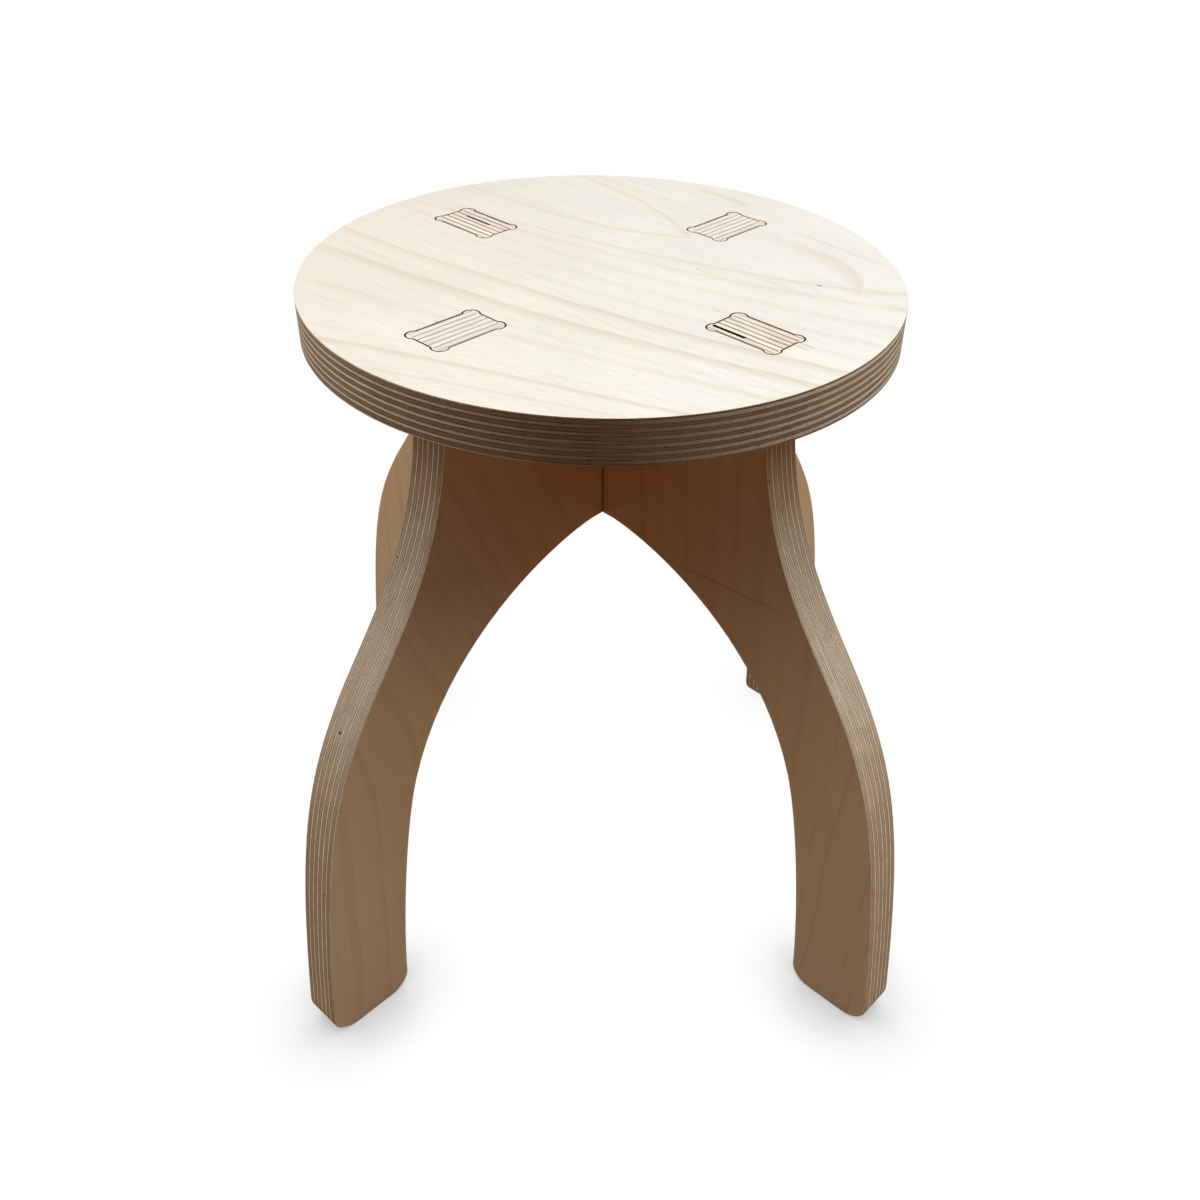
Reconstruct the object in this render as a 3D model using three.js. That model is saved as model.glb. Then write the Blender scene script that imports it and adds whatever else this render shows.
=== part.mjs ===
import * as THREE from 'three';

// A low plywood stool: a round seat on two leg panels that cross under it.
// All three pieces are cut from one sheet. The leg panels halve into each other,
// and each one has two tenons that come through the seat and end flush with its top.
// Millimetres, Z up. The origin is on the floor, under the middle of the seat.

// Sheet and cutter
const sheetThickness = 18;
const cutterRadius = 3.2;
const fitClearance = 0.3;

// Seat
const seatDiameter = 240;
const seatHeight = 312;
const rimMargin = 27.8;

// Leg panels
const tenonLength = 30.6;
const webDepth = 86.4;
const footOverhang = 60;
const footWidth = 41.8;
const footOuterRadius = 12;
const footInnerRadius = 10;
const outerFootLean = THREE.MathUtils.degToRad(5.2);
const innerFootLean = THREE.MathUtils.degToRad(0.4);

// Outer edge of a leg: across from neck to foot, then up from the floor to the seat
const outerAboveBendShares = [0.373, 0.675];
const outerBelowBendShares = [0.803, 0.470];
const outerBendShare = 0.47;
const neckPullShare = 0.222;
const outerFootPullShare = 0.329;

// Inner edge of a leg: across from the crossing to the foot, then up from the floor to the arch
const innerAboveBendShares = [0.690, 0.920];
const innerBelowBendShares = [0.942, 0.466];
const innerBendShare = 0.718;
const archPullShare = 0.16;
const innerFootPullShare = 0.116;

// How finely round stretches are cut into facets
const rimFacets = 180;
const edgeFacets = 22;
const cornerFacets = 10;

// Sizes that follow from the ones above
const seatRadius = seatDiameter / 2;
const seatUnderside = seatHeight - sheetThickness;
const archHeight = seatUnderside - webDepth;
const neckReach = seatRadius - rimMargin;
const tenonInnerReach = neckReach - tenonLength;
const footReach = seatRadius + footOverhang;
const footInnerReach = footReach - footWidth;
const slotHalfWidth = sheetThickness / 2 + fitClearance;
const lapHeight = archHeight + webDepth / 2;
const cutterInset = cutterRadius * Math.SQRT1_2;

const QUARTER = Math.PI / 2;
const EIGHTH = Math.PI / 4;

// Points along an arc, turning to the left when toAngle is the larger
function arcPoints(across, up, radius, fromAngle, toAngle, facets) {
  const points = [];
  for (let i = 0; i <= facets; i += 1) {
    const angle = THREE.MathUtils.lerp(fromAngle, toAngle, i / facets);
    points.push(new THREE.Vector2(
      across + radius * Math.cos(angle),
      up + radius * Math.sin(angle),
    ));
  }
  return points;
}

// A square inside corner that a round cutter has to overcut: half a circle through the corner point.
// The turn says which way the waste lies: 0 for left and below, then a quarter turn each.
function overcutCorner(cornerAcross, cornerUp, turn) {
  const waste = new THREE.Vector2(-1, -1).rotateAround(new THREE.Vector2(), turn * QUARTER);
  const fromAngle = turn * QUARTER - EIGHTH;
  return arcPoints(
    cornerAcross + waste.x * cutterInset,
    cornerUp + waste.y * cutterInset,
    cutterRadius,
    fromAngle,
    fromAngle + Math.PI,
    cornerFacets,
  );
}

// Two cubic curves that meet at a smooth bend on the line between their middle pulls
function bentEdge(start, startPull, aboveBend, belowBend, bendShare, endPull, end) {
  const bend = aboveBend.clone().lerp(belowBend, bendShare);
  const upper = new THREE.CubicBezierCurve(start, startPull, aboveBend, bend);
  const lower = new THREE.CubicBezierCurve(bend, belowBend, endPull, end);
  return [...upper.getPoints(edgeFacets), ...lower.getPoints(edgeFacets).slice(1)];
}

// From the seat's underside down the outside of a leg, round the foot and across its sole
function outerLegEdge() {
  const acrossSpan = footReach - neckReach;
  const place = ([across, up]) => new THREE.Vector2(
    neckReach + across * acrossSpan,
    up * seatUnderside,
  );
  const centreAcross = footReach - footOuterRadius;
  const foot = arcPoints(centreAcross, footOuterRadius, footOuterRadius, outerFootLean, -QUARTER, cornerFacets);
  const pull = outerFootPullShare * seatUnderside;
  const edge = bentEdge(
    new THREE.Vector2(neckReach, seatUnderside),
    new THREE.Vector2(neckReach, seatUnderside - neckPullShare * seatUnderside),
    place(outerAboveBendShares),
    place(outerBelowBendShares),
    outerBendShare,
    new THREE.Vector2(
      foot[0].x - pull * Math.sin(outerFootLean),
      foot[0].y + pull * Math.cos(outerFootLean),
    ),
    foot[0],
  );
  return [...edge, ...foot.slice(1)];
}

// From the inner end of the sole up the inside of a leg to the flat over the crossing
function innerLegEdge() {
  const acrossSpan = footInnerReach - slotHalfWidth;
  const place = ([across, up]) => new THREE.Vector2(
    slotHalfWidth + across * acrossSpan,
    up * archHeight,
  );
  const centreAcross = footInnerReach + footInnerRadius;
  const foot = arcPoints(
    centreAcross,
    footInnerRadius,
    footInnerRadius,
    Math.PI + innerFootLean,
    Math.PI + QUARTER,
    cornerFacets,
  );
  const pull = innerFootPullShare * archHeight;
  const edge = bentEdge(
    new THREE.Vector2(slotHalfWidth, archHeight),
    new THREE.Vector2(slotHalfWidth + archPullShare * acrossSpan, archHeight),
    place(innerAboveBendShares),
    place(innerBelowBendShares),
    innerBendShare,
    new THREE.Vector2(
      foot[0].x - pull * Math.sin(innerFootLean),
      foot[0].y + pull * Math.cos(innerFootLean),
    ),
    foot[0],
  );
  return [...edge, ...foot.slice(1)].reverse();
}

// Top of the web beside the crossing, with or without the slot that is open to the seat
function webTop(hasTopSlot) {
  const slotEnd = lapHeight - fitClearance / 2;
  if (!hasTopSlot) return [new THREE.Vector2(0, seatUnderside)];
  return [
    new THREE.Vector2(0, slotEnd),
    ...overcutCorner(slotHalfWidth, slotEnd, 3),
    new THREE.Vector2(slotHalfWidth, seatUnderside),
  ];
}

// Underside of the web beside the crossing, with or without the slot that is open to the arch
function webUnderside(hasTopSlot) {
  const slotEnd = lapHeight + fitClearance / 2;
  if (hasTopSlot) return [new THREE.Vector2(0, archHeight)];
  return [
    ...overcutCorner(slotHalfWidth, slotEnd, 0),
    new THREE.Vector2(0, slotEnd),
  ];
}

// A through tenon: the shoulder's overcut corner, then up to the top of the seat
function tenon() {
  return [
    ...overcutCorner(tenonInnerReach, seatUnderside, 3),
    new THREE.Vector2(tenonInnerReach, seatHeight),
    new THREE.Vector2(neckReach, seatHeight),
  ];
}

// Full outline of a leg panel: one half walked from top to bottom, then its mirror image back up
function legPanelShape(hasTopSlot) {
  const half = [
    ...webTop(hasTopSlot),
    ...tenon(),
    ...outerLegEdge(),
    ...innerLegEdge(),
    ...webUnderside(hasTopSlot),
  ];
  const mirrored = half
    .slice(1, -1)
    .reverse()
    .map((point) => new THREE.Vector2(-point.x, point.y));
  return new THREE.Shape([...half, ...mirrored].reverse());
}

// Flat stock cut to a shape, centred on the sheet's middle plane
function cutFromSheet(shape) {
  const geometry = new THREE.ExtrudeGeometry(shape, {
    depth: sheetThickness,
    steps: 1,
    bevelEnabled: false,
  });
  geometry.translate(0, 0, -sheetThickness / 2);
  return geometry;
}

// A mortise in the seat: the tenon's section with clearance, overcut at all four corners
function mortiseOutline(quarterTurns) {
  const centre = (tenonInnerReach + neckReach) / 2;
  const halfLength = tenonLength / 2 + fitClearance;
  const points = [[1, 1], [-1, 1], [-1, -1], [1, -1]].flatMap(([along, side], turn) => overcutCorner(
    centre + along * halfLength,
    side * slotHalfWidth,
    turn,
  ));
  const middle = new THREE.Vector2();
  return new THREE.Path(points.map((point) => point.rotateAround(middle, quarterTurns * QUARTER)));
}

function seatShape() {
  const shape = new THREE.Shape(arcPoints(0, 0, seatRadius, 0, 2 * Math.PI, rimFacets).slice(0, -1));
  shape.holes = [0, 1, 2, 3].map(mortiseOutline);
  return shape;
}

const stool = new THREE.Group();

// Seat: pale top face, laid flat with its mortises on the X and Y axes
const seat = new THREE.Mesh(
  cutFromSheet(seatShape()),
  new THREE.MeshStandardMaterial({ color: 0xefe3cf, roughness: 0.55, metalness: 0 }),
);
seat.name = 'seat';
seat.position.z = seatUnderside + sheetThickness / 2;
stool.add(seat);

// A leg panel stood on its feet and turned about the stool's axis
function legPanel(name, hasTopSlot, quarterTurns, color) {
  const panel = new THREE.Mesh(
    cutFromSheet(legPanelShape(hasTopSlot)),
    new THREE.MeshStandardMaterial({ color, roughness: 0.6, metalness: 0 }),
  );
  panel.name = name;
  panel.rotation.x = QUARTER;
  const turned = new THREE.Group();
  turned.rotation.z = quarterTurns * QUARTER;
  turned.add(panel);
  return turned;
}

// The lower panel is slotted from above, and the upper panel drops into it from the seat's side
stool.add(legPanel('lower_leg_panel', true, 0, 0xcda578));
stool.add(legPanel('upper_leg_panel', false, 1, 0xc79e70));

export default stool;
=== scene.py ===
import math

import bmesh
import bpy
from mathutils import Matrix, Vector


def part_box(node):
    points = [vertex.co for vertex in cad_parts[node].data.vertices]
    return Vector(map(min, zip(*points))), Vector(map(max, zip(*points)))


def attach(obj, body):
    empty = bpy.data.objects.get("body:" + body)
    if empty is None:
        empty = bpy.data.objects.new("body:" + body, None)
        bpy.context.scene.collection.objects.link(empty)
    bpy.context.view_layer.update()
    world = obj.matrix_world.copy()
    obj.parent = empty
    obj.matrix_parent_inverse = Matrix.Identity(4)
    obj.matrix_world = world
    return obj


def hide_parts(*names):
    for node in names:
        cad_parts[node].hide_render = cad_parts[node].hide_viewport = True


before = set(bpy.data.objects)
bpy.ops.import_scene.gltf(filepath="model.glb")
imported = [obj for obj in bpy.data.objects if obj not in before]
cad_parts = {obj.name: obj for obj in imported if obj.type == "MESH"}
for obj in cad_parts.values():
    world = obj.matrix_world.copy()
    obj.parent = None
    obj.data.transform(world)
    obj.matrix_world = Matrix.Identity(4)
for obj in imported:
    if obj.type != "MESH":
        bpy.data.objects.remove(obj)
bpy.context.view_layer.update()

MM = 0.001

# Lower leg panel
# One pair of legs with the arch between them, cut by a round cutter from 18 mm birch plywood of 13
# plies, with its face grain upright. It stands in the XZ plane. A slot from above takes the other panel,
# and two tenons are glued into the seat and sanded flush. Its corners are eased by hand.

sheet_half = 9
crossing_reach = 12
tenon_reach = (61.6, 92.2)
leg_arris = 0.35
sole_arris = 1.6
sole_easing_height = 26
seat_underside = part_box("seat")[0].z / MM
seat_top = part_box("seat")[1].z / MM
square_on = 0.99
smooth_angle = math.radians(32)


def alone(piece):
    """Makes the piece the only selected and the active object."""
    bpy.ops.object.select_all(action="DESELECT")
    bpy.context.view_layer.objects.active = piece
    piece.select_set(True)


def sawn_blank(node_name, piece_name):
    """A copy of a CAD node with its loose triangles joined into whole faces."""
    blank = bpy.data.objects.new(piece_name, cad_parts[node_name].data.copy())
    bpy.context.collection.objects.link(blank)
    alone(blank)
    blank.data.materials.clear()
    bpy.ops.object.mode_set(mode="EDIT")
    bpy.ops.mesh.select_all(action="SELECT")
    bpy.ops.mesh.remove_doubles(threshold=0.001 * MM)
    bpy.ops.mesh.dissolve_limited(angle_limit=math.radians(0.1))
    bpy.ops.object.mode_set(mode="OBJECT")
    return blank


def ease_corners(piece, flat_axis, widest, segments, width_at):
    """Rounds the corners between the sheet's faces and its cut edge by width_at(middle) millimetres."""
    work = bmesh.new()
    work.from_mesh(piece.data)
    weight = work.edges.layers.float.new("bevel_weight_edge")
    for edge in work.edges:
        if len(edge.link_faces) != 2:
            continue
        flat = [abs(face.normal[flat_axis]) > square_on for face in edge.link_faces]
        if flat[0] != flat[1]:
            edge[weight] = width_at((edge.verts[0].co + edge.verts[1].co) / 2 / MM) / widest
    work.to_mesh(piece.data)
    work.free()
    alone(piece)
    bpy.ops.object.modifier_add(type="BEVEL")
    bevel = piece.modifiers[-1]
    bevel.limit_method = "WEIGHT"
    bevel.width = widest * MM
    bevel.segments = segments
    bevel.use_clamp_overlap = False
    bpy.ops.object.modifier_apply(modifier=bevel.name)


def leg_corner_width(middle):
    """Leg corners are lightly eased, soles more, and what lies in a joint stays as it was cut."""
    reach = max(abs(middle.x), abs(middle.y))
    if middle.z > seat_underside - 1 or reach < crossing_reach:
        return 0
    share = max(0, 1 - middle.z / sole_easing_height)
    return leg_arris + (sole_arris - leg_arris) * share ** 2


def cut_away(piece, cutter):
    """Cuts the cutter's shape out of the piece."""
    alone(piece)
    bpy.ops.object.modifier_add(type="BOOLEAN")
    cut = piece.modifiers[-1]
    cut.operation = "DIFFERENCE"
    cut.solver = "EXACT"
    cut.object = cutter
    bpy.ops.object.modifier_apply(modifier=cut.name)
    bpy.data.objects.remove(cutter)


def box_cutter(low, high):
    """A box between two corners in millimetres."""
    low, high = Vector(low), Vector(high)
    bpy.ops.object.select_all(action="DESELECT")
    bpy.ops.mesh.primitive_cube_add(size=1, location=(low + high) / 2 * MM)
    box = bpy.context.active_object
    box.scale = (high - low) * MM
    bpy.ops.object.transform_apply(location=True, rotation=False, scale=True)
    return box


def core_gap(start, end, across, width, depth):
    """The cutter for a gap between core strips that sanding has opened in a tenon's top."""
    cutter = box_cutter(
        (start, across - width / 2, seat_top - depth),
        (end, across + width / 2, seat_top + depth),
    )
    bpy.ops.object.mode_set(mode="EDIT")
    bpy.ops.mesh.select_all(action="SELECT")
    bpy.ops.mesh.bevel(offset=0.3 * width * MM, segments=2, affect="EDGES")
    bpy.ops.object.mode_set(mode="OBJECT")
    return cutter


def finish_faces(piece, materials, material_at):
    """Gives each face the material that material_at(middle, normal) picks, and smooths the cut edge."""
    for material in materials:
        piece.data.materials.append(material)
    for polygon in piece.data.polygons:
        polygon.material_index = material_at(polygon.center / MM, polygon.normal)
    alone(piece)
    bpy.ops.object.shade_smooth_by_angle(angle=smooth_angle)
    bpy.ops.object.modifier_add(type="WEIGHTED_NORMAL")
    weighted = piece.modifiers[-1]
    weighted.keep_sharp = True
    bpy.ops.object.modifier_apply(modifier=weighted.name)


def linear(hex_colour):
    """An sRGB hex colour as the linear RGBA that a node takes."""
    shares = [int(hex_colour[i:i + 2], 16) / 255 for i in (1, 3, 5)]
    return tuple(s / 12.92 if s <= 0.04045 else ((s + 0.055) / 1.055) ** 2.4 for s in shares) + (1,)


def node(tree, kind, feeds=None, **settings):
    """Adds a node: settings are its own, feeds are values, sockets or nodes for its inputs."""
    made = tree.nodes.new(kind)
    for name, value in settings.items():
        setattr(made, name, value)
    for key, feed in (feeds or {}).items():
        if isinstance(feed, bpy.types.Node):
            feed = feed.outputs[0]
        if isinstance(feed, bpy.types.NodeSocket):
            tree.links.new(feed, made.inputs[key])
        else:
            made.inputs[key].default_value = feed
    return made


def new_material(name):
    """An empty node material and its tree."""
    material = bpy.data.materials.new(name)
    material.use_nodes = True
    material.node_tree.nodes.clear()
    return material, material.node_tree


def sheet_frame(tree, turn, origin):
    """Millimetres along the face grain, across it and through the sheet, and the surface's normal
    turned the same way."""
    place = node(tree, "ShaderNodeTexCoord")
    millimetres = node(tree, "ShaderNodeMapping", {
        "Vector": place.outputs["Object"],
        "Location": origin,
        "Rotation": turn,
        "Scale": (1000, 1000, 1000),
    })
    facing = node(tree, "ShaderNodeMapping", {
        "Vector": place.outputs["Normal"],
        "Rotation": turn,
    }, vector_type="VECTOR")
    return millimetres, facing


# How high the painted shade over the floor reaches, in millimetres
painted_floor_shade_height = 2.6


def wood_surface(tree, colour, roughness, height, relief):
    """Sanded wood under a thin matt lacquer, with hardly any gloss, and painted shade that darkens it
    just over the floor.
    Relief is the depth of its bumps in millimetres."""
    place = node(tree, "ShaderNodeTexCoord")
    above_floor = node(tree, "ShaderNodeSeparateXYZ", {0: place.outputs["Object"]})
    # Painted shade: the colour darkens to 0.4 over the last few millimetres above the floor, as a
    # contact shadow
    painted_floor_shade = node(tree, "ShaderNodeMapRange", {
        "Value": above_floor.outputs[2],
        "From Min": 0.2 * MM,
        "From Max": painted_floor_shade_height * MM,
        "To Min": 0.4,
        "To Max": 1.0,
    })
    colour = node(tree, "ShaderNodeMix", {
        0: 1.0, 6: colour, 7: painted_floor_shade,
    }, data_type="RGBA", blend_type="MULTIPLY").outputs[2]
    bump = node(tree, "ShaderNodeBump", {"Height": height, "Strength": 0.6, "Distance": relief * MM})
    shader = node(tree, "ShaderNodeBsdfPrincipled", {
        "Base Color": colour,
        "Roughness": roughness,
        "Normal": bump,
        "IOR": 1.5,
        "Specular IOR Level": 0.15,
    })
    node(tree, "ShaderNodeOutputMaterial", {"Surface": shader})


# Edge of birch plywood, routed and sanded. Plies with their grain along the face grain alternate with
# plies across it, 1.48 mm from middle to middle. Where the edge runs along a ply's fibres it looks
# pale, and where it cuts them it looks brown, so light and dark swap as the edge turns.
ply_pitch = 1.48
long_ply_half = 0.46
ply_blend = 0.06
side_grain = "#FFF1D8"
end_grain = "#BD996B"
glue_line = "#4A3020"
speck_brown = "#2E1D12"
knee_height = 180
neck_height = 250
# Where the painted warm shade under the seat starts and where it is full, in millimetres
warm_shade_heights = (230, 285)


def plywood_edge(name, turn, origin, seed, side=side_grain, end=end_grain, half=long_ply_half,
                 glue_share=0.95, glue_half=0.23, glue=glue_line, gain=1.0, power=1.6,
                 tone=(1.0, 1.0), painted_shade_under_seat="#FFFFFF", specks=()):
    """Plies that run along the face grain are 2 * half thick. Glue lines are 0.1 mm thick, and are
    drawn wider to show. Gain and power say how soon the edge looks brown as it turns to cut across
    fibres. The tone is painted light and shade: how light the edge is painted below the knee and at
    the neck, where the seat shades it. Under the seat it also takes a painted warm shade. Specks are
    x, y, z and radius in millimetres."""
    material, tree = new_material(name)
    place, facing = sheet_frame(tree, turn, origin)
    # Plies wander by up to a quarter of a millimetre, over about 30 mm
    wander = node(tree, "ShaderNodeTexNoise", {"Vector": place, "Scale": 0.035, "Detail": 2})
    parts = node(tree, "ShaderNodeSeparateXYZ", {0: place})
    drift = node(tree, "ShaderNodeMath", {0: wander.outputs[0], 1: 0.5}, operation="SUBTRACT")
    through = node(tree, "ShaderNodeMath", {
        0: drift, 1: 0.5, 2: parts.outputs[2],
    }, operation="MULTIPLY_ADD")
    from_middle = node(tree, "ShaderNodeMath", {0: through, 1: ply_pitch}, operation="PINGPONG")
    is_long = node(tree, "ShaderNodeMapRange", {
        "Value": from_middle, "From Min": half + ply_blend, "From Max": half - ply_blend,
    }, interpolation_type="SMOOTHSTEP")
    from_glue = node(tree, "ShaderNodeMath", {0: from_middle, 1: half}, operation="SUBTRACT")
    from_glue = node(tree, "ShaderNodeMath", {0: from_glue}, operation="ABSOLUTE")
    line = node(tree, "ShaderNodeMapRange", {
        "Value": from_glue, "From Min": glue_half, "From Max": 0.3 * glue_half,
    }, interpolation_type="SMOOTHSTEP")
    # A number for each ply, so that no two are quite the same colour
    pairs = node(tree, "ShaderNodeMath", {0: through, 1: 2 * ply_pitch}, operation="DIVIDE")
    long_number = node(tree, "ShaderNodeMath", {0: pairs}, operation="ROUND")
    cross_number = node(tree, "ShaderNodeMath", {0: pairs}, operation="FLOOR")
    cross_number = node(tree, "ShaderNodeMath", {0: cross_number, 1: 20.5}, operation="ADD")
    ply_number = node(tree, "ShaderNodeMix", {0: is_long, 2: cross_number, 3: long_number})
    ply_number = node(tree, "ShaderNodeMath", {
        0: ply_number, 1: 7.3, 2: seed,
    }, operation="MULTIPLY_ADD")
    ply_chance = node(tree, "ShaderNodeTexWhiteNoise", {"W": ply_number}, noise_dimensions="1D")
    # Fibres about 0.4 mm apart, drawn that coarse to show, and 10 mm long
    long_fibres = node(tree, "ShaderNodeVectorMath", {
        0: place, 1: (0.1, 2.4, 2.4),
    }, operation="MULTIPLY")
    cross_fibres = node(tree, "ShaderNodeVectorMath", {
        0: place, 1: (2.4, 0.1, 2.4),
    }, operation="MULTIPLY")
    fibre_place = node(tree, "ShaderNodeMix", {
        0: is_long, 4: cross_fibres, 5: long_fibres,
    }, data_type="VECTOR")
    fibres = node(tree, "ShaderNodeTexNoise", {
        "Vector": fibre_place.outputs[1], "W": ply_number, "Scale": 1.0, "Detail": 4, "Roughness": 0.6,
    }, noise_dimensions="4D")
    # How much the edge cuts across the ply's fibres
    turned = node(tree, "ShaderNodeSeparateXYZ", {0: facing})
    cut = node(tree, "ShaderNodeMix", {0: is_long, 2: turned.outputs[1], 3: turned.outputs[0]})
    cut = node(tree, "ShaderNodeMath", {0: cut, 1: cut}, operation="MULTIPLY")
    cut = node(tree, "ShaderNodeMath", {0: cut, 1: power}, operation="POWER")
    cut = node(tree, "ShaderNodeMath", {0: cut, 1: gain}, operation="MULTIPLY", use_clamp=True)
    wood = node(tree, "ShaderNodeMix", {0: cut, 6: linear(side), 7: linear(end)}, data_type="RGBA")
    shade = node(tree, "ShaderNodeMapRange", {
        "Value": fibres.outputs[0], "From Min": 0.28, "From Max": 0.72, "To Min": 0.68, "To Max": 1.22,
    })
    ply_shade = node(tree, "ShaderNodeMapRange", {
        "Value": ply_chance.outputs[0], "To Min": 0.88, "To Max": 1.04,
    })
    shade = node(tree, "ShaderNodeMath", {0: shade, 1: ply_shade}, operation="MULTIPLY")
    # Open pores and torn fibres, where the noise is lowest
    torn = node(tree, "ShaderNodeMapRange", {
        "Value": fibres.outputs[0], "From Min": 0.3, "From Max": 0.39, "To Min": 0.62, "To Max": 1.0,
    })
    shade = node(tree, "ShaderNodeMath", {0: shade, 1: torn}, operation="MULTIPLY")
    wood = node(tree, "ShaderNodeMix", {
        0: 1.0, 6: wood.outputs[2], 7: shade,
    }, data_type="RGBA", blend_type="MULTIPLY")
    # Glue lines are stronger in some places than in others, about 8 mm apart
    patchy = node(tree, "ShaderNodeTexNoise", {"Vector": place, "Scale": 0.12, "Detail": 3})
    patchy = node(tree, "ShaderNodeMapRange", {
        "Value": patchy.outputs[0],
        "From Min": 0.35,
        "From Max": 0.65,
        "To Min": 0.55 * glue_share,
        "To Max": glue_share,
    })
    line = node(tree, "ShaderNodeMath", {0: line, 1: patchy}, operation="MULTIPLY")
    wood = node(tree, "ShaderNodeMix", {0: line, 6: wood.outputs[2], 7: linear(glue)}, data_type="RGBA")
    unturned = node(tree, "ShaderNodeTexCoord")
    up = node(tree, "ShaderNodeSeparateXYZ", {0: unturned.outputs["Object"]})
    # Painted light and shade: lighter below the knee, darker at the neck, where the seat shades the edge
    painted_height_shade = node(tree, "ShaderNodeMapRange", {
        "Value": up.outputs[2],
        "From Min": knee_height * MM,
        "From Max": neck_height * MM,
        "To Min": tone[0],
        "To Max": tone[1],
    })
    wood = node(tree, "ShaderNodeMix", {
        0: 1.0, 6: wood.outputs[2], 7: painted_height_shade,
    }, data_type="RGBA", blend_type="MULTIPLY")
    # Painted shade: near the seat the edge is multiplied by a warm colour, for the bounced light under
    # it
    warm_shade_share = node(tree, "ShaderNodeMapRange", {
        "Value": up.outputs[2], "From Min": warm_shade_heights[0] * MM, "From Max": warm_shade_heights[1] * MM,
    })
    wood = node(tree, "ShaderNodeMix", {
        0: warm_shade_share, 6: wood.outputs[2], 7: linear(painted_shade_under_seat),
    }, data_type="RGBA", blend_type="MULTIPLY")
    for x, y, z, radius in specks:
        spot = node(tree, "ShaderNodeVectorMath", {
            0: unturned.outputs["Object"], 1: (x * MM, y * MM, z * MM),
        }, operation="DISTANCE")
        spot = node(tree, "ShaderNodeMapRange", {
            "Value": spot.outputs["Value"],
            "From Min": radius * MM,
            "From Max": 0.5 * radius * MM,
            "To Max": 0.8,
        })
        wood = node(tree, "ShaderNodeMix", {
            0: spot, 6: wood.outputs[2], 7: linear(speck_brown),
        }, data_type="RGBA")
    roughness = node(tree, "ShaderNodeMapRange", {"Value": cut, "To Min": 0.55, "To Max": 0.8})
    height = node(tree, "ShaderNodeMath", {0: fibres.outputs[0], 1: line}, operation="SUBTRACT")
    wood_surface(tree, wood.outputs[2], roughness, height, 0.05)
    return material


# Rotary-cut birch face veneer, sanded. It looks pale and close grained, with fine streaks and pores
# along the grain, a soft figure of browner rings, and a few marks.
mark_brown = "#6E5238"


def veneer(tree, place, rings, pale, ring_colour, seed, marks, fine=0.035):
    """Rings and marks are from 0 to 1, and fine is how dark the streaks and pores are."""
    # Streaks 1 to 3 mm wide and a hand long, then pores 6 mm long and 0.4 mm wide, drawn that wide to
    # show, then clouds about 50 mm across
    streak_place = node(tree, "ShaderNodeVectorMath", {
        0: place, 1: (0.012, 0.5, 0.5),
    }, operation="MULTIPLY")
    streaks = node(tree, "ShaderNodeTexNoise", {
        "Vector": streak_place, "W": seed, "Scale": 1.0, "Detail": 4, "Roughness": 0.6,
    }, noise_dimensions="4D")
    pore_place = node(tree, "ShaderNodeVectorMath", {
        0: place, 1: (0.16, 2.6, 2.6),
    }, operation="MULTIPLY")
    pores = node(tree, "ShaderNodeTexNoise", {
        "Vector": pore_place, "W": seed, "Scale": 1.0, "Detail": 3, "Roughness": 0.5,
    }, noise_dimensions="4D")
    clouds = node(tree, "ShaderNodeTexNoise", {
        "Vector": place, "W": seed, "Scale": 0.02, "Detail": 2,
    }, noise_dimensions="4D")
    wood = node(tree, "ShaderNodeMix", {0: rings, 6: pale, 7: linear(ring_colour)}, data_type="RGBA")
    streak_shade = node(tree, "ShaderNodeMapRange", {
        "Value": streaks.outputs[0],
        "From Min": 0.3,
        "From Max": 0.7,
        "To Min": 1 - fine,
        "To Max": 1 + 0.6 * fine,
    })
    pore_shade = node(tree, "ShaderNodeMapRange", {
        "Value": pores.outputs[0], "From Min": 0.3, "From Max": 0.5, "To Min": 1 - fine, "To Max": 1.0,
    })
    cloud_shade = node(tree, "ShaderNodeMapRange", {
        "Value": clouds.outputs[0], "From Min": 0.3, "From Max": 0.7, "To Min": 0.97, "To Max": 1.02,
    })
    shade = node(tree, "ShaderNodeMath", {0: streak_shade, 1: pore_shade}, operation="MULTIPLY")
    shade = node(tree, "ShaderNodeMath", {0: shade, 1: cloud_shade}, operation="MULTIPLY")
    wood = node(tree, "ShaderNodeMix", {
        0: 1.0, 6: wood.outputs[2], 7: shade,
    }, data_type="RGBA", blend_type="MULTIPLY")
    wood = node(tree, "ShaderNodeMix", {
        0: marks, 6: wood.outputs[2], 7: linear(mark_brown),
    }, data_type="RGBA")
    roughness = node(tree, "ShaderNodeMapRange", {
        "Value": streaks.outputs[0], "To Min": 0.62, "To Max": 0.5,
    })
    wood_surface(tree, wood.outputs[2], roughness, pores.outputs[0], 0.03)


def pencil_stroke(tree, along, across, start, end, level, slant, half, dark):
    """A soft line along the grain from start to end, all in millimetres. Level is its place across the
    grain where along is 0, slant how much it rises for each millimetre, half its half width, and dark
    its strength."""
    stroke = node(tree, "ShaderNodeMath", {0: along, 1: -slant, 2: across}, operation="MULTIPLY_ADD")
    stroke = node(tree, "ShaderNodeMath", {0: stroke, 1: level}, operation="SUBTRACT")
    stroke = node(tree, "ShaderNodeMath", {0: stroke}, operation="ABSOLUTE")
    stroke = node(tree, "ShaderNodeMapRange", {
        "Value": stroke, "From Min": half, "From Max": 0.2 * half, "To Max": dark,
    }, interpolation_type="SMOOTHSTEP")
    ease = 0.2 * (end - start)
    starts = node(tree, "ShaderNodeMapRange", {
        "Value": along, "From Min": start, "From Max": start + ease,
    })
    ends = node(tree, "ShaderNodeMapRange", {"Value": along, "From Min": end, "From Max": end - ease})
    stroke = node(tree, "ShaderNodeMath", {0: stroke, 1: starts}, operation="MULTIPLY")
    return node(tree, "ShaderNodeMath", {0: stroke, 1: ends}, operation="MULTIPLY")


ring_spacing = 14
bend_height = 140


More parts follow.
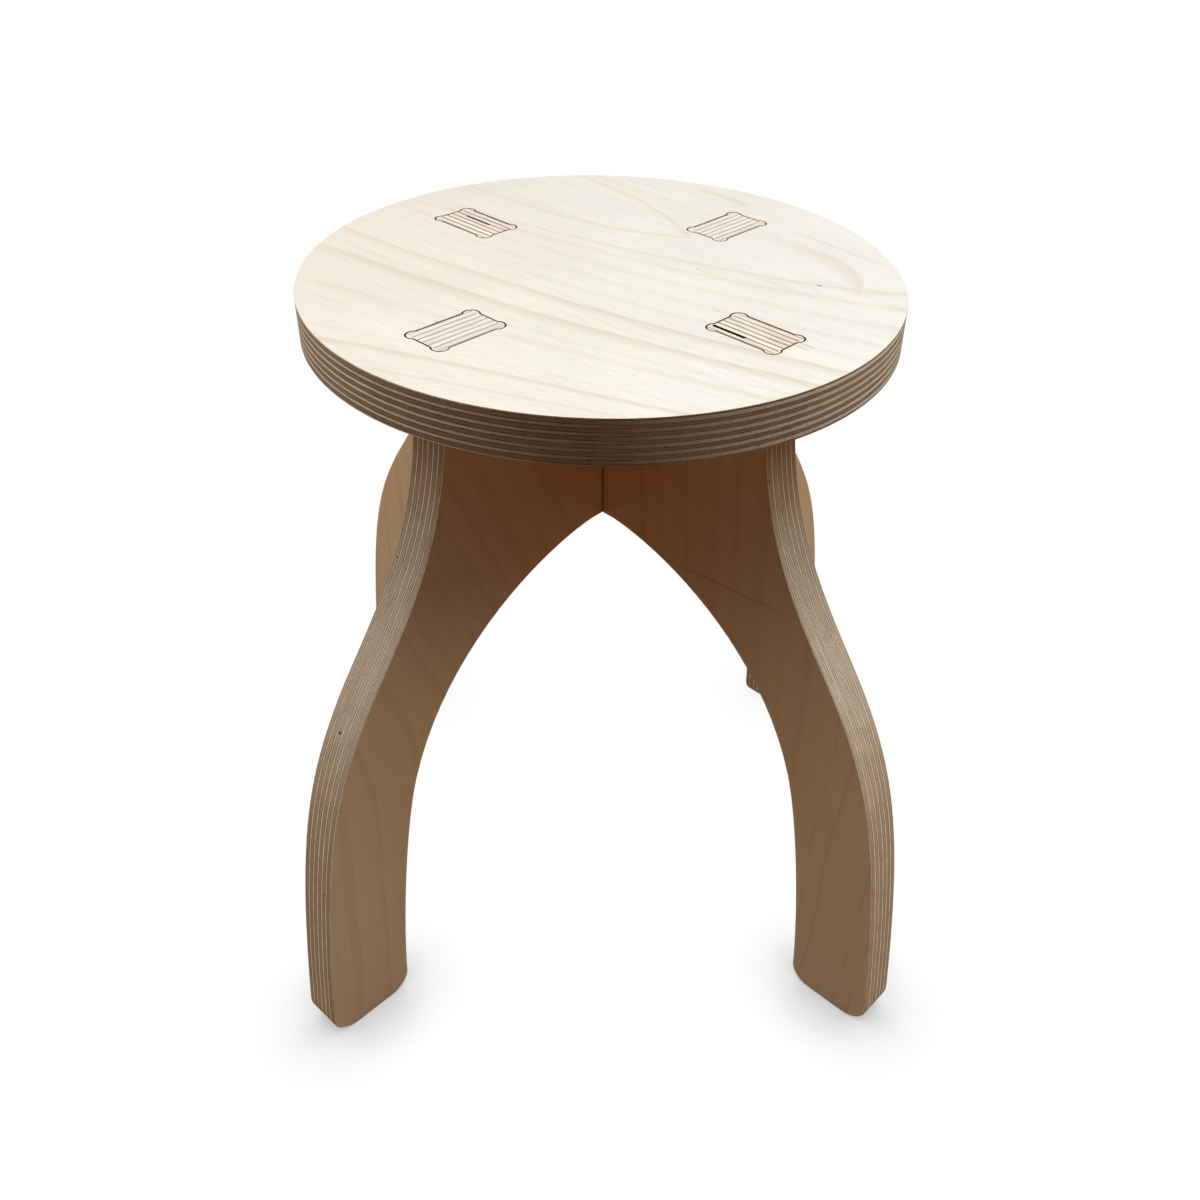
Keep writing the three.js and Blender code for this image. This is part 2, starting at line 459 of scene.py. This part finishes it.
def plain_veneer(name, turn, origin, pale, pale_against_bounce, ring_colour, seed, low_lean, high_lean,
                 upright=(), level=()):
    """Plain rings along the grain that lean more above the bend, with strokes along the grain and
    level ones across it. Above the knee the colour is painted less red, to offset the red light
    bounced between the wood under the seat."""
    material, tree = new_material(name)
    place, _ = sheet_frame(tree, turn, origin)
    parts = node(tree, "ShaderNodeSeparateXYZ", {0: place})
    # The rings wander by about 5 mm, over about 100 mm
    wave_place = node(tree, "ShaderNodeVectorMath", {
        0: place, 1: (0.009, 0.012, 0.2),
    }, operation="MULTIPLY")
    wave = node(tree, "ShaderNodeTexNoise", {
        "Vector": wave_place, "W": seed, "Scale": 1.0, "Detail": 2, "Roughness": 0.45,
    }, noise_dimensions="4D")
    above_bend = node(tree, "ShaderNodeMath", {
        0: parts.outputs[0], 1: bend_height, 2: 50.0,
    }, operation="SMOOTH_MAX")
    growth = node(tree, "ShaderNodeMath", {
        0: parts.outputs[0], 1: low_lean, 2: parts.outputs[1],
    }, operation="MULTIPLY_ADD")
    growth = node(tree, "ShaderNodeMath", {
        0: above_bend, 1: high_lean - low_lean, 2: growth,
    }, operation="MULTIPLY_ADD")
    growth = node(tree, "ShaderNodeMath", {
        0: wave.outputs[0], 1: 13.0, 2: growth,
    }, operation="MULTIPLY_ADD")
    growth = node(tree, "ShaderNodeMath", {
        0: growth, 1: 1 / ring_spacing, 2: seed,
    }, operation="MULTIPLY_ADD")
    # Some rings are wider than others
    uneven = node(tree, "ShaderNodeTexNoise", {
        "W": growth, "Scale": 0.9, "Detail": 2,
    }, noise_dimensions="1D")
    growth = node(tree, "ShaderNodeMath", {
        0: uneven.outputs[0], 1: 1.6, 2: growth,
    }, operation="MULTIPLY_ADD")
    # Each ring darkens slowly and ends sharply, and no two are equally strong
    within = node(tree, "ShaderNodeMath", {0: growth}, operation="FRACT")
    number = node(tree, "ShaderNodeMath", {0: growth}, operation="FLOOR")
    chance = node(tree, "ShaderNodeTexWhiteNoise", {"W": number}, noise_dimensions="1D")
    strong = node(tree, "ShaderNodeMapRange", {
        "Value": chance.outputs[0], "To Min": 0.2, "To Max": 1.0,
    })
    darkens = node(tree, "ShaderNodeMapRange", {
        "Value": within, "From Min": 0.5, "From Max": 0.92,
    }, interpolation_type="SMOOTHSTEP")
    ends = node(tree, "ShaderNodeMapRange", {"Value": within, "From Min": 1.0, "From Max": 0.88})
    rings = node(tree, "ShaderNodeMath", {0: darkens, 1: ends}, operation="MULTIPLY")
    rings = node(tree, "ShaderNodeMath", {0: rings, 1: strong}, operation="MULTIPLY")
    marks = 0.0
    for stroke in upright:
        mark = pencil_stroke(tree, parts.outputs[0], parts.outputs[1], *stroke)
        marks = node(tree, "ShaderNodeMath", {0: marks, 1: mark}, operation="MAXIMUM")
    # Level strokes are on the face that looks to -Y only
    one_face = node(tree, "ShaderNodeMath", {0: parts.outputs[2], 1: 0.0}, operation="LESS_THAN")
    for stroke in level:
        mark = pencil_stroke(tree, parts.outputs[1], parts.outputs[0], *stroke)
        mark = node(tree, "ShaderNodeMath", {0: mark, 1: one_face}, operation="MULTIPLY")
        marks = node(tree, "ShaderNodeMath", {0: marks, 1: mark}, operation="MAXIMUM")
    unturned = node(tree, "ShaderNodeTexCoord")
    up = node(tree, "ShaderNodeSeparateXYZ", {0: unturned.outputs["Object"]})
    # Painted light: above the knee the wood is painted less red, against the red bounced light there
    high = node(tree, "ShaderNodeMapRange", {
        "Value": up.outputs[2], "From Min": (knee_height - 10) * MM, "From Max": neck_height * MM,
    })
    wood = node(tree, "ShaderNodeMix", {
        0: high, 6: linear(pale), 7: linear(pale_against_bounce),
    }, data_type="RGBA")
    veneer(tree, place, rings, wood.outputs[2], ring_colour, seed, marks)
    return material


def painted_gap_shade(name):
    """The inside of a gap between core strips, painted near black as the shade in it."""
    material, tree = new_material(name)
    place = node(tree, "ShaderNodeTexCoord")
    # Specks about 1.4 mm apart, drawn that coarse to show, break up the painted shade
    dust = node(tree, "ShaderNodeTexNoise", {
        "Vector": place.outputs["Object"], "Scale": 700, "Detail": 3,
    })
    colour = node(tree, "ShaderNodeMix", {
        0: dust.outputs[0], 6: linear("#1A0B04"), 7: linear("#2E180B"),
    }, data_type="RGBA")
    roughness = node(tree, "ShaderNodeMapRange", {
        "Value": dust.outputs[0], "To Min": 0.75, "To Max": 0.95,
    })
    wood_surface(tree, colour.outputs[2], roughness, dust.outputs[0], 0.03)
    return material


PANEL_FACE, PANEL_EDGE, TENON_TOP, CORE_GAP = range(4)
deepest_gap = 6
just_inside = 0.1
flush_within = 0.02
facing_up = 0.9


def panel_material_at(flat_axis):
    """Picks the face veneer, the cut edge, the sanded top of a tenon, or the inside of a core gap, which
    is painted dark as shade.
    """
    def pick(middle, normal):
        if middle.z > seat_top - flush_within and normal.z > facing_up:
            return TENON_TOP
        reach = max(abs(middle.x), abs(middle.y))
        within_ends = tenon_reach[0] + just_inside < reach < tenon_reach[1] - just_inside
        within_faces = abs(middle[flat_axis]) < sheet_half - 2 * just_inside
        if middle.z > seat_top - deepest_gap and within_ends and within_faces:
            return CORE_GAP
        return PANEL_FACE if abs(normal[flat_axis]) > square_on else PANEL_EDGE
    return pick


leg_pale = "#EBCA9F"
leg_pale_against_bounce = "#EACFAA"
leg_rings = "#E0C094"
tenon_side = "#F7F0E3"
lower_ply_seed = 1.7
# Dark lines where the two panels meet, partly glue and partly painted shade in the corner between
# them, and a faint streak across one face
crossing_lines = ((150, 350, 9.3, 0, 0.5, 0.8), (150, 350, -9.3, 0, 0.5, 0.8))
cross_streak = (46, 118, 197.5, 0.07, 1.1, 0.22)
sheet_on_axis = (0, 0, 0)
upright_in_xz = (math.radians(90), 0, math.radians(90))
lower_panel = sawn_blank("lower_leg_panel", "lower_leg_panel_plywood")
ease_corners(lower_panel, 1, sole_arris, 3, leg_corner_width)
cut_away(lower_panel, core_gap(61.2, 77.2, -6.1, 1.6, 5))
cut_away(lower_panel, core_gap(-86, -71, 2.7, 1.1, 4))
finish_faces(lower_panel, (
    plain_veneer("birch_face_veneer_lower_panel", upright_in_xz, sheet_on_axis, leg_pale, leg_pale_against_bounce,
                 leg_rings, 3.1, low_lean=-0.08, high_lean=0.04, upright=crossing_lines,
                 level=(cross_streak,)),
    # Painted light: this edge is painted paler and cooler than the upper panel's, as lit more from the
    # right
    plywood_edge("birch_plywood_edge_lower_panel", upright_in_xz, sheet_on_axis, lower_ply_seed,
                 side="#FFF3DD", end="#CBA87B", tone=(1.2, 0.8), painted_shade_under_seat="#FFE9C8",
                 specks=((95.5, -8.3, 260.1, 0.7),)),
    plywood_edge("birch_tenon_top_lower_panel", upright_in_xz, sheet_on_axis, lower_ply_seed,
                 side=tenon_side, end="#B98F66", half=0.36, glue_share=0.5),
    painted_gap_shade("core_gap_painted_shade"),
), panel_material_at(1))
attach(lower_panel, "root")
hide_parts("lower_leg_panel")

# Upper leg panel
# The other pair of legs, of the same sheet and the same outline, slotted from below and dropped over
# the lower panel. It stands in the YZ plane, and its tenons are the front left and back right ones.

upper_ply_seed = 5.2
upright_in_yz = (0, math.radians(90), 0)
upper_panel = sawn_blank("upper_leg_panel", "upper_leg_panel_plywood")
ease_corners(upper_panel, 0, sole_arris, 3, leg_corner_width)
finish_faces(upper_panel, (
    plain_veneer("birch_face_veneer_upper_panel", upright_in_yz, sheet_on_axis, leg_pale, leg_pale_against_bounce,
                 leg_rings, 8.4, low_lean=-0.08, high_lean=0.42, upright=crossing_lines),
    plywood_edge("birch_plywood_edge_upper_panel", upright_in_yz, sheet_on_axis, upper_ply_seed,
                 tone=(1.1, 0.9), specks=(
                     (-1.5, -148.1, 161.1, 1.0), (5.2, -171.0, 88.3, 0.8),
                     (-6.7, -107.7, 224.2, 0.6), (-0.7, -108.8, 222.0, 0.5),
                 )),
    plywood_edge("birch_tenon_top_upper_panel", upright_in_yz, sheet_on_axis, upper_ply_seed,
                 side=tenon_side, end="#C9B595", half=0.3, glue_share=0.35),
), panel_material_at(0))
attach(upper_panel, "root")
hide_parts("upper_leg_panel")

# Seat
# A disc of the same plywood with its face grain along X. Its four through mortises were routed, and
# the round cutter has overcut their corners. It is glued onto the tenons, sanded flush and left pale.

rim_arris = 0.25
mortise_arris = 0.5
mortises_within = 110
seat_warm = "#F2EADB"
seat_cool = "#F2F0E7"
seat_rings = "#E7DAC5"
figure_reach = 125
tone_reach = 110


def seat_corner_width(middle):
    """The rim is eased all round, and the mortises at the top only."""
    if middle.xy.length > mortises_within:
        return rim_arris
    return mortise_arris if middle.z > seat_top - 1 else 0


def seat_veneer(name, turn, origin, seed):
    """The veneer of the top: long rings on a slant, two arches that close them, and small marks."""
    material, tree = new_material(name)
    place, _ = sheet_frame(tree, turn, origin)
    # The rings wander by a millimetre or two, over about 45 mm along the grain and 20 mm across it
    wander_place = node(tree, "ShaderNodeVectorMath", {
        0: place, 1: (0.022, 0.05, 0.05),
    }, operation="MULTIPLY")
    wander = node(tree, "ShaderNodeTexNoise", {"Vector": wander_place, "Scale": 1.0, "Detail": 2})
    wander = node(tree, "ShaderNodeMath", {0: wander.outputs[0], 1: 0.5}, operation="SUBTRACT")
    parts = node(tree, "ShaderNodeSeparateXYZ", {0: place})
    along = parts.outputs[0]
    across = node(tree, "ShaderNodeMath", {
        0: wander, 1: 4.0, 2: parts.outputs[1],
    }, operation="MULTIPLY_ADD")
    # The rings cross the disc on a slant that grows along the grain and fans out from the middle
    slant = node(tree, "ShaderNodeMath", {0: along, 1: 0.00055, 2: 0.18}, operation="MULTIPLY_ADD")
    rise = node(tree, "ShaderNodeMath", {0: slant, 1: along}, operation="MULTIPLY")
    level = node(tree, "ShaderNodeMath", {0: across, 1: rise}, operation="SUBTRACT")
    spread = node(tree, "ShaderNodeMath", {0: level, 1: 25.0}, operation="ADD")
    spread = node(tree, "ShaderNodeMath", {0: spread, 1: 2.0}, operation="POWER")
    spread = node(tree, "ShaderNodeMath", {0: spread, 1: along}, operation="MULTIPLY")
    ring_place = node(tree, "ShaderNodeMath", {
        0: spread, 1: -0.0000377, 2: level,
    }, operation="MULTIPLY_ADD")
    # Wider rings in millimetres across the grain: the place of each, how dark it is, how far it fades
    wide_rings = (
        (-120, 0.6, 3), (-103, 0.95, 4), (-69, 0.45, 5), (-47, 0.95, 7), (-31, 0.85, 6),
        (-18, 0.45, 3), (-5, 0.3, 5), (8, 0.45, 4), (20.5, 0.55, 4), (29.5, 0.75, 3),
    )
    ring_end = 1.1
    shares = node(tree, "ShaderNodeMapRange", {
        "Value": ring_place, "From Min": -figure_reach, "From Max": figure_reach,
    })
    ramp = node(tree, "ShaderNodeValToRGB", {0: shares})
    stops = ramp.color_ramp.elements
    for ring, dark, fade in wide_rings:
        for spot, value in ((ring - fade, 0.0), (ring, dark), (ring + ring_end, 0.0)):
            stop = stops.new((spot + figure_reach) / (2 * figure_reach))
            stop.color = (value, value, value, 1)
    stops.remove(stops[0])
    stops.remove(stops[-1])
    stops[0].color = (0, 0, 0, 1)
    # Fine rings lie between them, about 3 mm apart
    fine_rings = node(tree, "ShaderNodeTexNoise", {
        "W": ring_place, "Scale": 0.3, "Detail": 3, "Roughness": 0.6,
    }, noise_dimensions="1D")
    fine_rings = node(tree, "ShaderNodeMapRange", {
        "Value": fine_rings.outputs[0], "From Min": 0.52, "From Max": 0.8, "To Max": 0.35,
    })
    # The rings stop above the last one, and two arches close the figure there, as growth cones do:
    # the place of the tip, its half width, how fast it opens, its tone, and how far it fades out and in
    below = node(tree, "ShaderNodeMapRange", {
        "Value": ring_place, "From Min": 31.5, "From Max": 30.0,
    })
    rings = node(tree, "ShaderNodeMath", {0: ramp, 1: fine_rings}, operation="ADD", use_clamp=True)
    rings = node(tree, "ShaderNodeMath", {0: rings, 1: below}, operation="MULTIPLY")
    for tip_along, tip_across, half_width, opening, dark, hard, soft in (
        (-2, 54, 27, 37, 0.85, 1.3, 3.5), (84, 57, 25.5, 13, 0.75, 3.0, 9.0),
    ):
        behind = node(tree, "ShaderNodeMath", {0: tip_along, 1: along}, operation="SUBTRACT")
        fall = node(tree, "ShaderNodeMath", {0: behind, 1: -1 / opening}, operation="MULTIPLY")
        fall = node(tree, "ShaderNodeMath", {0: fall}, operation="EXPONENT")
        width = node(tree, "ShaderNodeMath", {
            0: fall, 1: -half_width, 2: half_width,
        }, operation="MULTIPLY_ADD")
        off_middle = node(tree, "ShaderNodeMath", {0: across, 1: tip_across}, operation="SUBTRACT")
        side = node(tree, "ShaderNodeMath", {0: off_middle}, operation="ABSOLUTE")
        outside = node(tree, "ShaderNodeMath", {0: side, 1: width}, operation="SUBTRACT")
        sharp = node(tree, "ShaderNodeMapRange", {
            "Value": outside, "From Min": hard, "From Max": 0.0, "To Max": dark,
        })
        faded = node(tree, "ShaderNodeMapRange", {"Value": outside, "From Min": -soft, "From Max": 0.0})
        arch = node(tree, "ShaderNodeMath", {0: sharp, 1: faded}, operation="MULTIPLY")
        ahead = node(tree, "ShaderNodeMapRange", {"Value": behind, "From Min": 0.0, "From Max": 1.5})
        arch = node(tree, "ShaderNodeMath", {0: arch, 1: ahead}, operation="MULTIPLY")
        if tip_along > 0:
            # The lower arm of the second arch is the last of the long rings
            upper = node(tree, "ShaderNodeMapRange", {
                "Value": off_middle, "From Min": -2.0, "From Max": 1.0,
            })
            fading = node(tree, "ShaderNodeMapRange", {
                "Value": along, "From Min": 5.0, "From Max": 60.0, "To Min": 0.35,
            })
            arch = node(tree, "ShaderNodeMath", {0: arch, 1: upper}, operation="MULTIPLY")
            arch = node(tree, "ShaderNodeMath", {0: arch, 1: fading}, operation="MULTIPLY")
        rings = node(tree, "ShaderNodeMath", {0: rings, 1: arch}, operation="MAXIMUM")
    # Loose strokes of the figure in the far part of the disc
    for start, end, level, slant, half, dark in (
        (12, 84, 97, -0.11, 1.6, 0.5), (-46, -7, 105, 0.0, 3.2, 0.75), (-72, -12, 86, -0.09, 1.4, 0.3),
    ):
        stroke = pencil_stroke(tree, along, across, start, end, level, slant, half, dark)
        rings = node(tree, "ShaderNodeMath", {0: rings, 1: stroke}, operation="MAXIMUM")
    # Fine splits off the ends of two tenons, a pin knot and its tick, and a nick
    marks = 0.0
    for start, end, level, slant, half, dark in (
        (93.0, 100.5, 3.4, 0.02, 0.3, 0.6), (93.0, 99.5, -0.6, 0.03, 0.3, 0.5),
        (50.0, 61.0, 5.0, 0.0, 0.25, 0.35), (53.0, 61.0, -3.5, 0.0, 0.25, 0.3),
        (-99.5, -93.0, 3.4, 0.0, 0.3, 0.5),
        (65.6, 68.6, 53.0, 0.0, 0.7, 0.8), (62.5, 67.5, 55.6, 0.0, 0.35, 0.3),
        (20.0, 31.0, 30.0, 0.02, 0.3, 0.4), (-11.6, -9.4, -74.0, 0.3, 0.5, 0.7),
    ):
        stroke = pencil_stroke(tree, along, parts.outputs[1], start, end, level, slant, half, dark)
        marks = node(tree, "ShaderNodeMath", {0: marks, 1: stroke}, operation="MAXIMUM")
    # Seen from the front, the right is cooler than the left
    to_right = node(tree, "ShaderNodeVectorMath", {
        0: place, 1: (0.72, 0.69, 0.0),
    }, operation="DOT_PRODUCT")
    cool = node(tree, "ShaderNodeMapRange", {
        "Value": to_right.outputs["Value"], "From Min": -tone_reach, "From Max": tone_reach,
    })
    pale = node(tree, "ShaderNodeMix", {
        0: cool, 6: linear(seat_warm), 7: linear(seat_cool),
    }, data_type="RGBA")
    # Painted light: the top is painted darker towards the back and lighter towards the front, as the
    # light falls off
    to_front = node(tree, "ShaderNodeVectorMath", {
        0: place, 1: (0.69, -0.72, 0.0),
    }, operation="DOT_PRODUCT")
    painted_front_light = node(tree, "ShaderNodeMapRange", {
        "Value": to_front.outputs["Value"],
        "From Min": -tone_reach,
        "From Max": tone_reach,
        "To Min": 0.94,
        "To Max": 1.04,
    })
    pale = node(tree, "ShaderNodeMix", {
        0: 1.0, 6: pale.outputs[2], 7: painted_front_light,
    }, data_type="RGBA", blend_type="MULTIPLY")
    veneer(tree, place, rings, pale.outputs[2], seat_rings, seed, marks, fine=0.055)
    return material


SEAT_TOP, SEAT_RIM, SEAT_UNDERSIDE, MORTISE_WALL = range(4)


def seat_material_at(middle, normal):
    """Picks the top veneer, the rim, the underside veneer, or the wall of a mortise, dark with glue and
    painted shade.
    """
    if abs(normal.z) < square_on:
        return MORTISE_WALL if middle.xy.length < mortises_within else SEAT_RIM
    return SEAT_TOP if normal.z > 0 else SEAT_UNDERSIDE


def glue_and_gap_shade(name, dark, pale):
    """PVA glue that has darkened in the joint, with painted shade for the narrow gap round the tenon: a
    brown line that comes and goes.
    """
    material, tree = new_material(name)
    place = node(tree, "ShaderNodeTexCoord")
    # Blotches about 11 mm apart
    blotches = node(tree, "ShaderNodeTexNoise", {
        "Vector": place.outputs["Object"], "Scale": 90, "Detail": 3,
    })
    share = node(tree, "ShaderNodeMapRange", {
        "Value": blotches.outputs[0], "From Min": 0.42, "From Max": 0.62,
    })
    # More glue was pressed out round the lower panel's tenons, which lie on the X axis
    parts = node(tree, "ShaderNodeSeparateXYZ", {0: place.outputs["Object"]})
    on_x = node(tree, "ShaderNodeMath", {0: parts.outputs[0]}, operation="ABSOLUTE")
    on_y = node(tree, "ShaderNodeMath", {0: parts.outputs[1]}, operation="ABSOLUTE")
    glue_rich = node(tree, "ShaderNodeMath", {0: on_x, 1: on_y}, operation="SUBTRACT")
    glue_rich = node(tree, "ShaderNodeMapRange", {
        "Value": glue_rich,
        "From Min": -10 * MM,
        "From Max": 10 * MM,
        "To Min": 0.0,
        "To Max": -0.45,
    })
    share = node(tree, "ShaderNodeMath", {0: share, 1: glue_rich}, operation="ADD", use_clamp=True)
    # The dark is partly glue and partly painted shade in the narrow gap round the tenon
    colour = node(tree, "ShaderNodeMix", {0: share, 6: linear(dark), 7: linear(pale)}, data_type="RGBA")
    roughness = node(tree, "ShaderNodeMapRange", {
        "Value": blotches.outputs[0], "To Min": 0.4, "To Max": 0.7,
    })
    wood_surface(tree, colour.outputs[2], roughness, blotches.outputs[0], 0.03)
    return material


underside_pale = "#E2C49A"
flat_sheet = (0, 0, 0)
sheet_middle = (0, 0, -(seat_underside + seat_top) / 2)
seat = sawn_blank("seat", "seat_plywood_disc")
ease_corners(seat, 2, mortise_arris, 2, seat_corner_width)
finish_faces(seat, (
    seat_veneer("birch_face_veneer_seat", flat_sheet, sheet_middle, 2.6),
    plywood_edge("birch_plywood_edge_seat", flat_sheet, sheet_middle, 9.9,
                 side="#FFF1DC", end="#B29773", half=0.65,
                 glue_share=0.9, glue_half=0.26, glue="#2E1C0E", gain=1.8, power=1.0,
                 specks=((96.9, -70.8, 300.8, 0.5),)),
    plain_veneer("birch_face_veneer_underside", flat_sheet, sheet_middle,
                 underside_pale, underside_pale, "#D0AB7E", 6.3, low_lean=0.1, high_lean=0.1),
    glue_and_gap_shade("glue_and_painted_shade_in_joint", "#361405", "#7C4A28"),
), seat_material_at)
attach(seat, "root")
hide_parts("seat")

# Corner fillers
# Wood filler pressed into the four overcut corners of each mortise, round the square corners of the
# tenon, and sanded flush. One set is modelled round the first tenon and copied to the other three.

cutter_radius = 3.2
mortise_clearance = 0.3
filler_depth = 4
filler_sinks = 0.01
glue_film = 0.004
# A little less than the cutter's radius, so that the fillers don't touch the mortises' walls
filler_radius = 2.9


def wood_filler(name):
    """Birch dust and glue: pale, fine grained and a little warmer than the wood round it."""
    material, tree = new_material(name)
    place = node(tree, "ShaderNodeTexCoord")
    # Grains of dust about 0.7 mm apart, drawn that coarse to show
    grit = node(tree, "ShaderNodeTexNoise", {
        "Vector": place.outputs["Object"], "Scale": 1400, "Detail": 3,
    })
    colour = node(tree, "ShaderNodeMix", {
        0: grit.outputs[0], 6: linear("#F8F1E4"), 7: linear("#EFE3CE"),
    }, data_type="RGBA")
    roughness = node(tree, "ShaderNodeMapRange", {
        "Value": grit.outputs[0], "To Min": 0.55, "To Max": 0.75,
    })
    wood_surface(tree, colour.outputs[2], roughness, grit.outputs[0], 0.03)
    return material


corner_inset = cutter_radius / math.sqrt(2)
inner_end = tenon_reach[0] - mortise_clearance + corner_inset
outer_end = tenon_reach[1] + mortise_clearance - corner_inset
corner_side = sheet_half + mortise_clearance - corner_inset
plugs = []
for end in (inner_end, outer_end):
    for side in (-corner_side, corner_side):
        bpy.ops.object.select_all(action="DESELECT")
        bpy.ops.mesh.primitive_cylinder_add(
            vertices=64,
            radius=filler_radius * MM,
            depth=filler_depth * MM,
            location=(end * MM, side * MM, (seat_top - filler_sinks - filler_depth / 2) * MM),
        )
        plugs.append(bpy.context.active_object)
bpy.ops.object.select_all(action="DESELECT")
for plug in plugs:
    plug.select_set(True)
bpy.context.view_layer.objects.active = plugs[0]
bpy.ops.object.join()
filler = bpy.context.active_object
bpy.ops.object.transform_apply(location=True, rotation=True, scale=True)
cut_away(filler, box_cutter(
    (tenon_reach[0] - glue_film, -sheet_half - glue_film, seat_underside),
    (tenon_reach[1] + glue_film, sheet_half + glue_film, seat_top + 1),
))
filler.data.materials.append(wood_filler("birch_wood_filler"))
alone(filler)
bpy.ops.object.shade_smooth_by_angle(angle=smooth_angle)
for quarter, place_name in enumerate(("plus_x", "plus_y", "minus_x", "minus_y")):
    corner_filler = bpy.data.objects.new("corner_filler_" + place_name, filler.data.copy())
    bpy.context.collection.objects.link(corner_filler)
    alone(corner_filler)
    corner_filler.rotation_euler.z = math.radians(90 * quarter)
    bpy.ops.object.transform_apply(location=False, rotation=True, scale=False)
    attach(corner_filler, "root")
bpy.data.objects.remove(filler)

# Floor, light and camera
# A plain pale floor, a soft dome of light that is brightest behind the stool, two wide lamps, and the
# camera at the photo's viewing angle.

floor_size = 12
contact_distance = 34
# The front is the side between the legs on +X and -Y
toward_front = (0.6926, -0.7213, 0.0)


def seen_directly(tree):
    """1 where a surface shows to the camera or in gloss or glass, and 0 where it only lights others."""
    path = node(tree, "ShaderNodeLightPath")
    seen = node(tree, "ShaderNodeMath", {
        0: path.outputs["Is Camera Ray"], 1: path.outputs["Is Glossy Ray"],
    }, operation="MAXIMUM")
    return node(tree, "ShaderNodeMath", {
        0: seen, 1: path.outputs["Is Transmission Ray"],
    }, operation="MAXIMUM")


bpy.ops.object.select_all(action="DESELECT")
bpy.ops.mesh.primitive_plane_add(size=floor_size)
floor = bpy.context.active_object
floor.name = "floor"
material, tree = new_material("plain_pale_floor")
# Painted shadow: ambient occlusion dims the white that the floor shows near the stool, as a contact
# shadow
contact = node(tree, "ShaderNodeAmbientOcclusion", {"Distance": contact_distance * MM}, samples=16)
contact = node(tree, "ShaderNodeMapRange", {
    "Value": contact.outputs["AO"], "From Min": 0.3, "From Max": 0.99, "To Min": 0.45, "To Max": 1.0,
})
# Behind the stool the painted contact shadow fades to a fifth, so that the far feet hardly darken the
# floor
place = node(tree, "ShaderNodeTexCoord")
front = node(tree, "ShaderNodeVectorMath", {
    0: place.outputs["Object"], 1: toward_front,
}, operation="DOT_PRODUCT")
front = node(tree, "ShaderNodeMapRange", {
    "Value": front.outputs["Value"], "From Min": -0.06, "From Max": 0.06, "To Min": 0.2, "To Max": 1.0,
})
contact = node(tree, "ShaderNodeMix", {0: front, 2: 1.0, 3: contact})
white = node(tree, "ShaderNodeEmission", {"Color": (1, 1, 1, 1), "Strength": contact})
# The stool is lit as if by a brown floor, so that little light comes up from below, and warm
brown = node(tree, "ShaderNodeBsdfDiffuse", {"Color": linear("#754A20")})
surface = node(tree, "ShaderNodeMixShader", {0: seen_directly(tree), 1: brown, 2: white})
# From below, the floor is clear
under = node(tree, "ShaderNodeNewGeometry")
clear = node(tree, "ShaderNodeBsdfTransparent")
surface = node(tree, "ShaderNodeMixShader", {0: under.outputs["Backfacing"], 1: surface, 2: clear})
node(tree, "ShaderNodeOutputMaterial", {"Surface": surface})
floor.data.materials.append(material)

# The dome is dim in front of the stool and bright behind it
dome_strength = 0.61
dome_contrast = 1.6
world = bpy.data.worlds.new("soft_dome")
bpy.context.scene.world = world
world.use_nodes = True
tree = world.node_tree
tree.nodes.clear()
sky = node(tree, "ShaderNodeTexCoord")
facing = node(tree, "ShaderNodeVectorMath", {
    0: sky.outputs["Generated"], 1: toward_front,
}, operation="DOT_PRODUCT")
light = node(tree, "ShaderNodeMath", {
    0: facing.outputs["Value"], 1: -dome_contrast, 2: 1.0,
}, operation="MULTIPLY_ADD")
light = node(tree, "ShaderNodeMath", {0: light, 1: 0.0}, operation="MAXIMUM")
light = node(tree, "ShaderNodeMath", {0: light, 1: dome_strength}, operation="MULTIPLY")
strength = node(tree, "ShaderNodeMix", {0: seen_directly(tree), 2: light, 3: 1.0})
background = node(tree, "ShaderNodeBackground", {"Color": (1, 1, 1, 1), "Strength": strength})
node(tree, "ShaderNodeOutputWorld", {"Surface": background})

# Two wide lamps stand to the left and right of the stool's front, the right one stronger
lamp_distance = 2.0
lamp_size = 1.4
lamp_target = Vector((0, 0, 0.3))
for name, azimuth, elevation, watts in (("right_lamp", 42, 47, 14.8), ("left_lamp", -143, 38, 12.8)):
    toward_lamp = Vector((
        math.cos(math.radians(elevation)) * math.cos(math.radians(azimuth)),
        math.cos(math.radians(elevation)) * math.sin(math.radians(azimuth)),
        math.sin(math.radians(elevation)),
    ))
    bpy.ops.object.select_all(action="DESELECT")
    bpy.ops.object.light_add(type="AREA", location=lamp_target + toward_lamp * lamp_distance)
    lamp = bpy.context.active_object
    lamp.name = name
    lamp.rotation_euler = toward_lamp.to_track_quat("Z", "Y").to_euler()
    lamp.data.shape = "DISK"
    lamp.data.size = lamp_size
    lamp.data.energy = watts

# The camera's place in metres, its focal length in pixels of the 1200 pixel frame, and how far its
# picture is shifted, as a share of that frame
camera_place = Vector((0.32883, -0.34250, 0.50436))
focal_pixels = 1243.44
frame_pixels = 1200
picture_shift = -0.04234
sensor_width = 36

bpy.ops.object.select_all(action="DESELECT")
bpy.ops.object.camera_add()
camera = bpy.context.active_object
across = Vector((0.73889, 0.67307, 0.03181))
up = Vector((-0.42159, 0.42495, 0.80105))
back = across.cross(up).normalized()
up = back.cross(across).normalized()
camera.matrix_world = Matrix((
    (across.x, up.x, back.x, camera_place.x),
    (across.y, up.y, back.y, camera_place.y),
    (across.z, up.z, back.z, camera_place.z),
    (0, 0, 0, 1),
))
camera.data.sensor_width = sensor_width
camera.data.lens = sensor_width * focal_pixels / frame_pixels
camera.data.shift_x = picture_shift
camera.data.clip_start = 0.01
bpy.context.scene.camera = camera
bpy.context.scene.view_settings.view_transform = "Standard"
